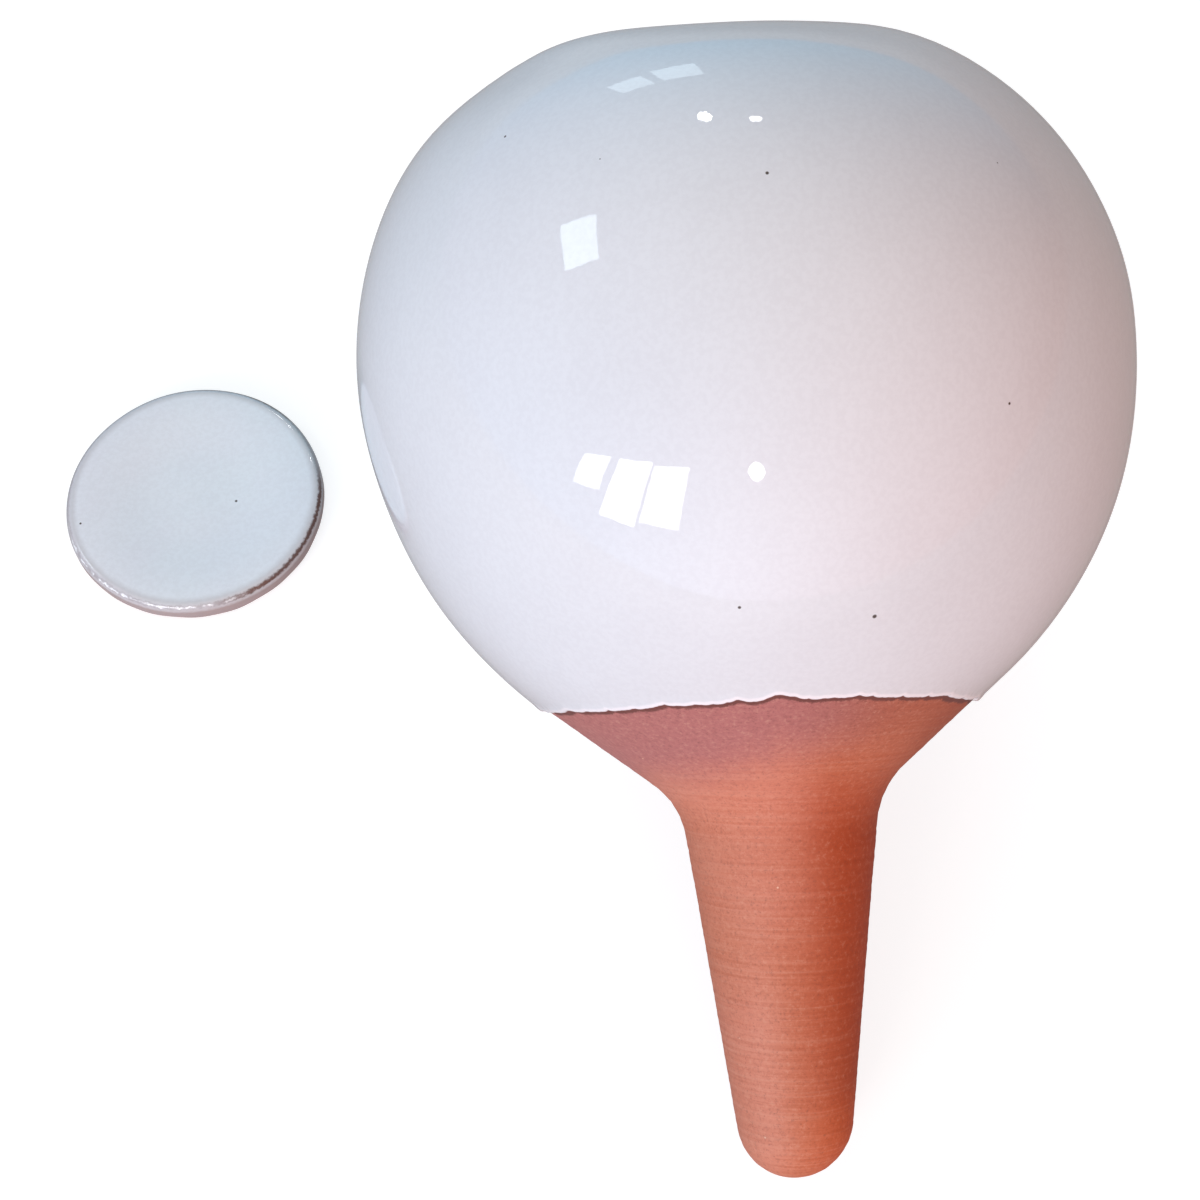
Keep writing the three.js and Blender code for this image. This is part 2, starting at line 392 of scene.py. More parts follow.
def lathe(name, radius, height, bearing, shift=None, attributes=None):
    """A closed mesh of rings about Z. Rings whose radius is all zero at an end close it to a point,
    and otherwise the last ring is joined to the first."""
    rings, turns = radius.shape
    x = radius * np.sin(bearing)
    if shift is not None:
        x = x + shift(height)
    places = np.stack([x, -radius * np.cos(bearing), height], axis=-1)
    poles = radius[0].max() < TINY
    corner = np.arange(rings * turns).reshape(rings, turns)
    if poles:
        corner[0] = corner[0, 0]
        corner[-1] = corner[-1, 0]
    onwards = np.roll(corner, -1, axis=1)
    faces = []
    for low in range(rings - 1 if poles else rings):
        high = (low + 1) % rings
        quads = np.stack([corner[low], onwards[low], onwards[high], corner[high]], axis=1)
        faces.extend(tuple(dict.fromkeys(quad)) for quad in quads.tolist())
    used, compact = np.unique([c for face in faces for c in face], return_inverse=True)
    ends = np.cumsum([0] + [len(face) for face in faces])
    faces = [compact[a:b].tolist() for a, b in zip(ends[:-1], ends[1:])]
    mesh = bpy.data.meshes.new(name)
    mesh.from_pydata(places.reshape(-1, 3)[used].tolist(), [], faces)
    mesh.polygons.foreach_set("use_smooth", [True] * len(faces))
    for key, values in (attributes or {}).items():
        layer = mesh.attributes.new(key, "FLOAT", "POINT")
        kept = np.broadcast_to(values, radius.shape).ravel()[used]
        layer.data.foreach_set("value", kept.astype(np.float32))
    own = mesh.attributes.new("own_place", "FLOAT_VECTOR", "POINT")
    own.data.foreach_set("vector", places.reshape(-1, 3)[used].ravel().astype(np.float32))
    mesh.update()
    mesh.validate()
    mesh.set_sharp_from_angle(angle=CORNER)
    piece = bpy.data.objects.new(name, mesh)
    bpy.context.scene.collection.objects.link(piece)
    return piece


def stack(*bands):
    """Joins bands of rings, each a tuple of 2-D arrays, into one tuple."""
    return tuple(np.vstack(parts) for parts in zip(*bands))


def spaced(start, end, step):
    count = max(2, int(round(abs(end - start) / step)) + 1)
    return np.linspace(start, end, count)


def band(outline, along, bearing, offset=None):
    """Rings at fixed distances along an outline, with an offset worked out from height and bearing."""
    along = np.broadcast_to(np.asarray(along)[:, None], (len(along), len(bearing)))
    radius, height = outline.place(along)
    if offset is None:
        return radius, height
    return outline.place(along, offset(height, bearing[None, :]))


def make_globe_clay():
    bearing = bearings(CLAY_TURNS)
    mean = ball_skin.distance_at(HEM_HEIGHT)
    nominal = np.concatenate([
        spaced(0, RIM_SETBACK, FINE_STEP),
        spaced(RIM_SETBACK, mean - HEM_NEAR, HIDDEN_STEP)[1:],
        spaced(mean - HEM_NEAR, ball_skin.length, FINE_STEP)[1:],
    ])
    along = follow_hem(nominal, bearing)
    _, height = ball_skin.place(along)
    marks = turning(height, bearing[None, :]) * smooth(along, mean - HEM_NEAR, mean)
    outside = ball_skin.place(along, marks + swell(along, bearing[None, :]))
    below = along - ball_skin.distance_at(hem_height(bearing))[None, :]
    below = np.where(along <= RIM_SETBACK, RIM_SETBACK - along + RIM_EDGE_LESS, below)
    seat = SEAT_RADIUS - MOUTH_RADIUS - MOUTH_ROUND
    mouth_along = np.concatenate([
        spaced(mouth_skin.length, mouth_skin.length - seat, COAT_STEP),
        spaced(mouth_skin.length - seat, seat, FINE_STEP)[1:],
        spaced(seat, 0, COAT_STEP)[1:],
    ])
    mouth = band(mouth_skin, mouth_along, bearing)
    inside_along = spaced(ball_inside.length, 0, INSIDE_STEP)
    inside = band(ball_inside, inside_along, bearing, throwing)
    mouth_rings = len(mouth[0]) - 1
    radius, high = stack(outside, inside, (mouth[0][1:-1], mouth[1][1:-1]))
    bare = np.full((len(inside_along) + mouth_rings - 1, CLAY_TURNS), ball_skin.length)
    below = np.vstack([below, bare])
    return lathe("globe_clay", radius, high, bearing, sideways, {"below_glaze": below})


def make_spike_clay():
    bearing = bearings(SPIKE_TURNS)
    bore = band(spike_bore, spaced(spike_bore.length, 0, BORE_STEP), bearing)
    outside = band(spike_skin, spaced(0, spike_skin.length, SPIKE_STEP), bearing, spike_marks)
    radius, height = stack(bore, outside)
    radius[0] = 0
    radius[-1] = 0
    below = ball_skin.length - ball_skin.distance_at(HEM_HEIGHT) + lute_height - height
    return lathe("spike_clay", radius, height, bearing, sideways, {"below_glaze": below})


def rounded(distance):
    """Share of the full coat at a distance from its edge."""
    return np.sqrt(np.clip(1 - (1 - np.clip(distance / LIP_ROUND, 0, 1)) ** 2, 0, 1))


def edge_steps(reach):
    """Distances from an edge of the coat that crowd towards the edge."""
    lip = LIP_ROUND * (1 - np.cos(np.linspace(0, QUARTER, EDGE_STEPS)))
    bead = spaced(LIP_ROUND, LIP_ROUND + 2 * LIP_BEAD_WIDTH, LIP_BEAD_WIDTH / 3)[1:]
    return np.concatenate([lip, bead, spaced(bead[-1], reach, COAT_STEP)[1:]])


def make_globe_glaze():
    bearing = bearings(GLAZE_TURNS)
    mean = ball_skin.distance_at(HEM_HEIGHT)
    from_hem = edge_steps(mean - RIM_SETBACK - LIP_ROUND)
    from_rim = LIP_ROUND * (1 - np.cos(np.linspace(QUARTER, 0, EDGE_STEPS)))[1:]
    nominal = np.concatenate([mean - from_hem, RIM_SETBACK + from_rim])
    along = follow_hem(nominal, bearing)
    hem = ball_skin.distance_at(hem_height(bearing))[None, :]
    above = hem - along
    from_edge = rounded(along - RIM_SETBACK)
    coat = COAT * rounded(above) * from_edge
    bead = LIP_BEAD * rounded(above) * np.exp(-((above - LIP_ROUND) / LIP_BEAD_WIDTH) ** 2)
    waves = coat_waves(along, bearing[None, :]) * smooth(above, 0, HEM_NEAR) * from_edge
    outside = ball_skin.place(along, coat + bead + waves + swell(along, bearing[None, :]))
    inner = follow_hem(spaced(RIM_SETBACK, mean, HIDDEN_STEP), bearing)
    inside = ball_skin.place(inner, swell(inner, bearing[None, :]) - COAT_SINK)
    radius, height = stack(outside, inside)
    depth = np.vstack([above, hem - inner])
    return lathe("globe_coat", radius, height, bearing, sideways, {"above_hem": depth})


def lid_uneven(radius, height, bearing):
    """Draws the lid's round in here and there, and dishes its top a little."""
    drawn = radius - LID_WOBBLE * (1 + ripples(bearing, LID_WOBBLES)) * (radius / LID_RADIUS) ** 2
    dish = LID_DISH * (1 - smooth(radius, LID_DISH_FLAT, LID_DISH_END))
    return drawn, height - dish * smooth(height, 0, LID_THICKNESS)


def make_lid_clay():
    bearing = bearings(LID_TURNS)
    along = spaced(lid_skin.length, 0, LID_CLAY_STEP)
    radius, height = band(lid_skin, along, bearing)
    radius[0] = 0
    radius[-1] = 0
    radius, height = lid_uneven(radius, height, bearing[None, :])
    below = np.full(radius.shape, ball_skin.length)
    return lathe("lid_clay", radius, height, bearing, None, {"below_glaze": below})


def make_lid_glaze():
    bearing = bearings(LID_TURNS)
    top = LID_RADIUS - LID_EDGE_ROUND
    edge = top + QUARTER * LID_EDGE_ROUND
    hem = edge + LID_THICKNESS - LID_EDGE_ROUND - LID_BARE_FOOT
    along = np.concatenate([
        hem - LIP_ROUND * (1 - np.cos(np.linspace(0, QUARTER, EDGE_STEPS))),
        spaced(hem - LIP_ROUND, edge, FINE_STEP)[1:],
        np.linspace(edge, top, EDGE_STEPS)[1:],
        spaced(top, 0, COAT_STEP)[1:],
    ])[:, None]
    sway = LID_HEM_SWAY * ripples(bearing, LID_HEM_RUNS)[None, :]
    drawn = along + sway * smooth(along, edge, hem)
    waves = LID_WAVE * (np.sin(along / LID_WAVE_REACH + 2 * bearing[None, :]) - 1)
    waves = waves * smooth(hem - along, 0, hem - edge)
    outside = lid_skin.place(drawn, LID_COAT * rounded(hem - along) + waves)
    inner = spaced(0, hem, LID_HIDDEN_STEP)[:, None]
    hidden = inner + sway * smooth(inner, edge, hem)
    inside = lid_skin.place(hidden, -COAT_SINK)
    radius, height = stack(inside, outside)
    radius[0] = 0
    radius[-1] = 0
    radius, height = lid_uneven(radius, height, bearing[None, :])
    over_edge = np.vstack([hidden, drawn]) - top
    return lathe("lid_coat", radius, height, bearing, None, {"over_edge": over_edge})


# Materials

class Shader:
    """Builds a node tree. An input takes a plain value or another node's output."""

    def __init__(self, owner):
        owner.use_nodes = True
        self.tree = owner.node_tree

    def feed(self, socket, value):
        if isinstance(value, bpy.types.NodeSocket):
            self.tree.links.new(value, socket)
        else:
            socket.default_value = value

    def node(self, kind, inputs, **settings):
        node = self.tree.nodes.new(kind)
        for key, value in settings.items():
            setattr(node, key, value)
        for key, value in inputs.items():
            self.feed(node.inputs[key], value)
        return node

    def math(self, operation, *values):
        return self.node("ShaderNodeMath", dict(enumerate(values)), operation=operation).outputs[0]

    def vector(self, operation, first, second):
        return self.node("ShaderNodeVectorMath", {0: first, 1: second}, operation=operation).outputs[0]

    def dot(self, first, second):
        inputs = {0: first, 1: second}
        return self.node("ShaderNodeVectorMath", inputs, operation="DOT_PRODUCT").outputs["Value"]

    def fade(self, value, low, high):
        """0 where value is at low or beyond it, 1 at high, smooth between."""
        inputs = {"Value": value, "From Min": low, "From Max": high}
        return self.node("ShaderNodeMapRange", inputs, interpolation_type="SMOOTHSTEP").outputs[0]

    def noise(self, place, scale, detail, roughness=0.55):
        inputs = {"Vector": place, "Scale": scale, "Detail": detail, "Roughness": roughness}
        return self.node("ShaderNodeTexNoise", inputs).outputs["Fac"]

    def mix(self, share, first, second):
        inputs = {0: share, 6: first, 7: second}
        return self.node("ShaderNodeMix", inputs, data_type="RGBA").outputs[2]

    def tint(self, tone, tint, *shares):
        """A tone with another mixed in, by the product of the shares."""
        share = shares[0]
        for other in shares[1:]:
            share = self.math("MULTIPLY", share, other)
        return self.mix(share, tone, tint)

    def place(self):
        """Place on the piece in its own axes, with Z along the axis that it was turned on."""
        return self.node("ShaderNodeAttribute", {}, attribute_name="own_place").outputs["Vector"]

    def attribute(self, name):
        return self.node("ShaderNodeAttribute", {}, attribute_name=name).outputs["Fac"]

    def bump(self, height, distance, strength, under=None):
        inputs = {"Height": height, "Distance": distance, "Strength": strength}
        if under is not None:
            inputs["Normal"] = under
        return self.node("ShaderNodeBump", inputs).outputs[0]

    def specks(self, place, spacing, radius, share):
        """Sparse round spots: a share of the cells of a grid of that spacing holds one."""
        cells = self.node("ShaderNodeTexVoronoi", {"Vector": place, "Scale": 1 / spacing})
        chance = self.node("ShaderNodeSeparateColor", {0: cells.outputs["Color"]}).outputs[0]
        spot = self.fade(cells.outputs["Distance"], radius / spacing, SPECK_CORE * radius / spacing)
        return self.math("MULTIPLY", spot, self.math("LESS_THAN", chance, share))

    def spot(self, place, centre, radius):
        """One round spot at a place."""
        inputs = {0: place, 1: centre}
        off = self.node("ShaderNodeVectorMath", inputs, operation="DISTANCE").outputs["Value"]
        return self.fade(off, radius, SPOT_CORE * radius)


def colour(red, green, blue):
    return (red, green, blue, 1.0)


GLAZE_WHITE = colour(0.80, 0.795, 0.81)
GLAZE_CLOUD = colour(0.755, 0.745, 0.76)
GLAZE_LIP = colour(0.98, 0.92, 0.93)
PINHOLE = colour(0.10, 0.075, 0.065)
LID_WHITE = colour(0.86, 0.885, 0.91)
LID_CLOUD_AND_SHADE = colour(0.855, 0.85, 0.89)
LID_SIDE = colour(0.46, 0.37, 0.36)
LID_RIM = colour(0.40, 0.345, 0.335)
LID_GLINT = colour(1.0, 1.0, 1.0)
LID_BREAK = colour(0.13, 0.065, 0.05)
CLAY_ORANGE = colour(0.57, 0.148, 0.066)
CLAY_PALE = colour(0.615, 0.20, 0.11)
CLAY_SHADE_DEEP = colour(0.47, 0.08, 0.025)
CLAY_SHADE_TIP = colour(0.60, 0.112, 0.033)
CLAY_PAINTED_SHEEN = colour(0.80, 0.33, 0.25)
CLAY_SHADED = colour(0.305, 0.07, 0.038)
CLAY_MAUVE_AND_SHADE = colour(0.48, 0.172, 0.155)
CLAY_BROWN_AND_SHADE = colour(0.40, 0.126, 0.09)
CLAY_DARK = colour(0.15, 0.05, 0.04)
CLAY_FLECK = colour(0.78, 0.48, 0.34)
FLOOR_MATT = colour(0.48, 0.43, 0.40)
WHITE = colour(1, 1, 1)

# Noises: scale in waves per metre, detail, and roughness where it is not the usual one
CLOUDS = (45.0, 4.0)
LID_CLOUDS = (70.0, 4.0)
SMEAR = (90.0, 2.0)
PEEL = (260.0, 2.0)
GAPS = (420.0, 2.0)
MOTTLE = (1300.0, 3.0)
PITTING = (1500.0, 2.0)
RAGGED = (1500.0, 4.0)
BLOTCHES = (70.0, 4.0)
CLAY_MOTTLE = (1300.0, 4.0, 0.75)
CLAY_GRAIN = (2600.0, 3.0, 0.7)
CLAY_LINES = (1.0, 3.0, 0.6)

# The value that a noise varies about
NOISE_MIDDLE = 0.5

# Fine lines in the clay: how they drift round the spike, and how close they lie along it
LINE_DRIFT = (40.0, 40.0, 0)
LINE_CLOSENESS = 2400.0

# Bumps: depth and strength
PEEL_BUMP = (0.0002, 0.04)
PITTING_BUMP = (0.00002, 0.06)
GRAIN_BUMP = (0.00005, 0.3)
LINE_BUMP = (0.00004, 0.45)

# Sparse specks: spacing, radius, and the share of places that have one. The core is the share of the
# radius within which a speck or a spot is full
GLAZE_SPECKS = (0.004, 0.0002, 0.03)
LID_GLAZE_SPECKS = (0.004, 0.0002, 0.04)
CLAY_SPECKS = (0.0023, 0.00018, 0.07)
SPECK_CORE = 0.6
SPOT_CORE = 0.5

# Gloss: how much the roughness varies, over the least that it is
GLAZE_ROUGHNESS = (0.03, 0.01)
GLAZE_IOR = 1.5
CLAY_ROUGHNESS = (0.2, 0.48)
CLAY_SPECULAR = 0.3

# Below, a pair is where a tone starts and where it is full, and a share is how much of it shows

# Ball's glaze: clouds and mottle by their noise, and the pale lip by the distance above the hem. The
# pale lip is partly thick glaze and partly a painted highlight
CLOUDED = (0.35, 0.75)
CLOUD_SHARE = 0.45
MOTTLED = (0.35, 0.65)
MOTTLE_SHARE = 0.55
LIP_ABOVE = (0.0014, 0.0008)

# Lid's glaze: clouds by their noise, a tone towards the left, and the tones over its edge by the
# distance along it. These tones are fixed to the lid. The tone towards the left is painted shade; the
# greying towards the edge and on its side is partly thinner glaze and partly painted shade
LID_CLOUDED = (0.35, 0.7)
LID_CLOUD_SHARE = 0.5
LID_LEFTWARDS = (0.004, -0.02)
LID_LEFT_SHARE = 0.7
LID_MOTTLE_SHARE = 0.07
LID_RIM_OVER = (-0.0012, LID_EDGE_ROUND)
LID_RIM_SHARE = 0.5
LID_RAGGEDNESS = 0.0005
LID_SIDE_OVER = (0.9 * LID_EDGE_ROUND, 2.2 * LID_EDGE_ROUND)
LID_ARRIS = 0.8 * LID_EDGE_ROUND
LID_BREAK_WIDTH = (0.45 * LID_EDGE_ROUND, 0.1 * LID_EDGE_ROUND)
LID_GLINT_WIDTH = (0.22 * LID_EDGE_ROUND, 0.05 * LID_EDGE_ROUND)
LID_GLINT_GAPS = (0.42, 0.6)

# Clay: paler by its lines, blotches and grain
PALE_BY_LINES = 0.6
PALE_BY_BLOTCHES = 0.4
PALE_BY_GRAIN = 0.15
PALE_FROM = (0.42, 0.73)

# Clay: deeper on one side of the neck and spike, brighter at the tip, darker at the far side of the
# funnel, and paler on the other side, all by the distance across the vessel or below the glaze. These
# tones are fixed to the piece and are painted light and shade: painted shade on the deep side and at the
# funnel's far side, and a painted sheen on the pale side
DEEP_SHADE_WANDER = 0.006
DEEP_SHADE_ACROSS = (-0.005, 0.01)
DEEP_SHADE_BELOW = (0.008, 0.032)
TIP_SHADE_BELOW = (0.068, 0.076)
SHADED_ACROSS = (0.006, 0.03)
SHADED_SHARE = 0.8
LOW_SHEEN_ACROSS = (-0.003, -0.01)
LOW_SHEEN_BELOW = (0.04, 0.06)
LOW_SHEEN_SHARE = 0.32
HIGH_SHEEN_ACROSS = (0.006, -0.006)
HIGH_SHEEN_BELOW = (0.052, 0.038)
NECK_SHEEN_BELOW = (0.031, 0.022)
NECK_SHEEN_SHARE = 0.18
HIGH_SHEEN_SHARE = 0.2

# Clay: the mauve band below the glaze, partly the clay's own tone and partly painted shade under the
# ball, which slants and wanders, turns brown and then ends on one side
BAND_SLANT = 0.3
BAND_WANDER = 0.008
BAND_BELOW = (0.0245, 0.009)
BAND_ACROSS = (0.027, 0)
BROWN_ACROSS = (-0.008, 0.014)

# Clay: dark and pale mottle, more of it on the band, and dark and pale lines, more of them low down
MOTTLE_DARK = (0.52, 0.3)
MOTTLE_PALE = (0.5, 0.72)
BAND_MOTTLE_SHARE = 0.08
CLAY_MOTTLE_SHARE = 0.19
LINE_DARK = (0.5, 0.3)
LINE_PALE = (0.52, 0.72)
LOW_LINE_BELOW = (0.03, 0.06)
LOW_LINE_SHARE = 0.05
LINE_SHARE = 0.03

# Clay: the ragged dark edge along the glaze, partly the clay's own dark line and partly painted shadow
# under the glaze's lip, and dark pits, more of them near the glaze
EDGE_RAGGEDNESS = 0.0009
EDGE_BELOW = (0.0019, 0.0014)
EDGE_SHARE = 0.9
PIT_GRAIN = (0.42, 0.3)
NEAR_PIT_BELOW = (0.005, 0.001)
NEAR_PIT_SHARE = 0.35
PIT_SHARE = 0.25

# How much the floor is lifted to white where it is seen, and the share of that in mirrored views of it,
# near the object and far in front of it and behind it, where it runs into the bright ends of the room
FLOOR_LIFT = colour(0.74, 0.77, 0.79)
FLOOR_MIRRORED = 0.1
FLOOR_MIRRORED_AHEAD = 1.2
FLOOR_AHEAD = (-0.08, -1.0)
FLOOR_MIRRORED_BEHIND = 0.6
FLOOR_BEHIND = (0.1, 1.2)
FLOOR_CLOSENESS = 3

# Pinholes in the ball's glaze: bearing in degrees, height along the axis and radius
PINHOLES = (
    (-3.4, 0.0162, 0.0003),
    (26, -0.0144, 0.00026),
    (8.2, -0.0399, 0.0004),
    (-13.2, -0.037, 0.0003),
    (-40.7, 0.0282, 0.00026),
)

# Specks on the lid: across, towards the front, and radius
LID_SPECKS = (
    (0.0078, -0.0018, 0.00032),
    (-0.0212, -0.004, 0.00028),
)

# Where the glaze is thin on the lid's edge: bearing in degrees, cosines of how far it reaches, faint and
# full, and how much clay shows, over a little that shows all round
LID_BREAKS = (
    (54, 0.56, 0.9, 0.95),
    (142, 0.965, 0.99, 0.6),
)
LID_BREAK_ALL_ROUND = 0.3

# Where the lid's edge gleams, given as a break is. This glint is painted in the colour of the glaze, and
# does not come from the lights
LID_GLEAM = (-28, 0.5, 0.9)


def on_ball(bearing, height):
    """A place on the glaze in the vessel's own axes."""
    along = ball_skin.distance_at(height)
    turn = math.radians(bearing)
    radius, high = ball_skin.place(along, COAT + swell(along, turn))
    across = radius * math.sin(turn) + sideways(height)
    return (float(across), float(-radius * math.cos(turn)), float(high))


def glaze_gloss(shader, surface, place):
    """Gloss and fine unevenness of the fired glaze."""
    surface.inputs["IOR"].default_value = GLAZE_IOR
    smear = shader.noise(place, *SMEAR)
    shader.feed(surface.inputs["Roughness"], shader.math("MULTIPLY_ADD", smear, *GLAZE_ROUGHNESS))
    soft = shader.bump(shader.noise(place, *PEEL), *PEEL_BUMP)
    pitted = shader.bump(shader.noise(place, *PITTING), *PITTING_BUMP, soft)
    shader.feed(surface.inputs["Normal"], pitted)


def globe_glaze_material():
    material = bpy.data.materials.new("white_glaze_ball")
    shader = Shader(material)
    surface = shader.tree.nodes["Principled BSDF"]
    place = shader.place()
    clouds = shader.fade(shader.noise(place, *CLOUDS), *CLOUDED)
    mottle = shader.fade(shader.noise(place, *MOTTLE), *MOTTLED)
    clouds = shader.math("MULTIPLY", clouds, CLOUD_SHARE)
    clouded = shader.math("MULTIPLY_ADD", mottle, MOTTLE_SHARE, clouds)
    tone = shader.mix(clouded, GLAZE_WHITE, GLAZE_CLOUD)
    above = shader.attribute("above_hem")
    # The pale lip, partly thick glaze and partly a painted highlight
    tone = shader.tint(tone, GLAZE_LIP, shader.fade(above, *LIP_ABOVE))
    dots = shader.specks(place, *GLAZE_SPECKS)
    for bearing, height, radius in PINHOLES:
        dots = shader.math("MAXIMUM", dots, shader.spot(place, on_ball(bearing, height), radius))
    shader.feed(surface.inputs["Base Color"], shader.tint(tone, PINHOLE, dots))
    glaze_gloss(shader, surface, place)
    return material


def towards_edge(shader, place, bearing):
    """How far a place on the lid lies towards its edge at a bearing, as a share of the radius."""
    turn = math.radians(bearing)
    return shader.dot(place, (math.sin(turn) / LID_RADIUS, -math.cos(turn) / LID_RADIUS, 0))


def lid_glaze_material():
    material = bpy.data.materials.new("white_glaze_lid")
    shader = Shader(material)
    surface = shader.tree.nodes["Principled BSDF"]
    place = shader.place()
    clouds = shader.fade(shader.noise(place, *LID_CLOUDS), *LID_CLOUDED)
    clouds = shader.math("MULTIPLY", clouds, LID_CLOUD_SHARE)
    # Painted shade: the glaze takes the cloud tone towards the left
    shade_leftwards = shader.fade(shader.dot(place, (1, 0, 0)), *LID_LEFTWARDS)
    clouded = shader.math("MULTIPLY_ADD", shade_leftwards, LID_LEFT_SHARE, clouds)
    tone = shader.mix(clouded, LID_WHITE, LID_CLOUD_AND_SHADE)
    mottle = shader.fade(shader.noise(place, *MOTTLE), *MOTTLED)
    tone = shader.tint(tone, LID_RIM, mottle, LID_MOTTLE_SHARE)
    over = shader.attribute("over_edge")
    # The greying towards the edge and the darker side, partly thinner glaze and partly painted shade
    tone = shader.tint(tone, LID_RIM, shader.fade(over, *LID_RIM_OVER), LID_RIM_SHARE)
    rough_edge = shader.math("SUBTRACT", shader.noise(place, *RAGGED), NOISE_MIDDLE)
    ragged = shader.math("MULTIPLY_ADD", rough_edge, LID_RAGGEDNESS, over)
    tone = shader.tint(tone, LID_SIDE, shader.fade(ragged, *LID_SIDE_OVER))
    broken = LID_BREAK_ALL_ROUND
    for bearing, faint, full, share in LID_BREAKS:
        near = shader.fade(towards_edge(shader, place, bearing), faint, full)
        broken = shader.math("MAXIMUM", broken, shader.math("MULTIPLY", near, share))
    off_arris = shader.math("ABSOLUTE", shader.math("SUBTRACT", ragged, LID_ARRIS))
    tone = shader.tint(tone, LID_BREAK, shader.fade(off_arris, *LID_BREAK_WIDTH), broken)
    bearing, faint, full = LID_GLEAM
    gleam = shader.fade(towards_edge(shader, place, bearing), faint, full)
    gaps = shader.fade(shader.noise(place, *GAPS), *LID_GLINT_GAPS)
    tone = shader.tint(tone, LID_GLINT, shader.fade(off_arris, *LID_GLINT_WIDTH), gaps, gleam)
    dots = shader.specks(place, *LID_GLAZE_SPECKS)
    in_plan = shader.vector("MULTIPLY", place, (1, 1, 0))
    for across, front, radius in LID_SPECKS:
        dots = shader.math("MAXIMUM", dots, shader.spot(in_plan, (across, front, 0), radius))
    shader.feed(surface.inputs["Base Color"], shader.tint(tone, PINHOLE, dots))
    glaze_gloss(shader, surface, place)
    return material


def clay_lines(shader, place):
    """Noise drawn out into fine level lines round the axis, tilted as the turning marks are."""
    level = shader.dot(place, (RING_TILT, 0, 1))
    along = {"Z": shader.math("MULTIPLY", level, LINE_CLOSENESS)}
    drawn_out = shader.node("ShaderNodeCombineXYZ", along).outputs[0]
    drifting = shader.vector("MULTIPLY", place, LINE_DRIFT)
    return shader.noise(shader.vector("ADD", drifting, drawn_out), *CLAY_LINES)


def painted_sheen(shader, across, below):
    """Share of painted sheen, a pale tone on one side, low on the spike, and high on it and at the neck.
    """
    low = shader.math(
        "MULTIPLY", shader.fade(across, *LOW_SHEEN_ACROSS), shader.fade(below, *LOW_SHEEN_BELOW))
    high = shader.math(
        "MULTIPLY", shader.fade(across, *HIGH_SHEEN_ACROSS), shader.fade(below, *HIGH_SHEEN_BELOW))
    neck = shader.fade(below, *NECK_SHEEN_BELOW)
    share = shader.math("MULTIPLY_ADD", neck, NECK_SHEEN_SHARE, HIGH_SHEEN_SHARE)
    return shader.math("MULTIPLY_ADD", low, LOW_SHEEN_SHARE, shader.math("MULTIPLY", high, share))


